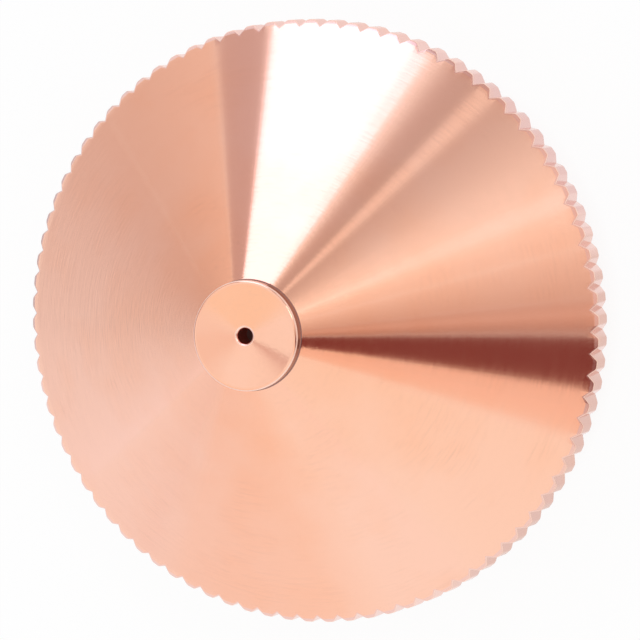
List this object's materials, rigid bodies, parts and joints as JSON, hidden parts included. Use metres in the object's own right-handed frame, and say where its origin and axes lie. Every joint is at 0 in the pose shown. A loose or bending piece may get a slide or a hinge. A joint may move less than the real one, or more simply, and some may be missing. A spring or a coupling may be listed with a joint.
{
  "type": "laser cutting nozzle",
  "caption": "Solid copper screw-in nozzle for a fibre laser cutting head: knurled rim, plain cone with a flat tip and small orifice, threaded shank with a tapering gas passage.",
  "frame": {"origin": "on the axis, in the plane of the seat face under the head that tightens against the cutting head", "axes": "+Z along the axis towards the tip and orifice; X and Y are square to it, with a groove of the knurl on +X and on -X"},
  "size_m": [0.028, 0.028, 0.015],
  "materials": {
    "copper": "fine turned bare copper, satin with a metallic sheen"
  },
  "bodies": {
    "root": {"nozzle": "copper"}
  },
  "joints": []
}
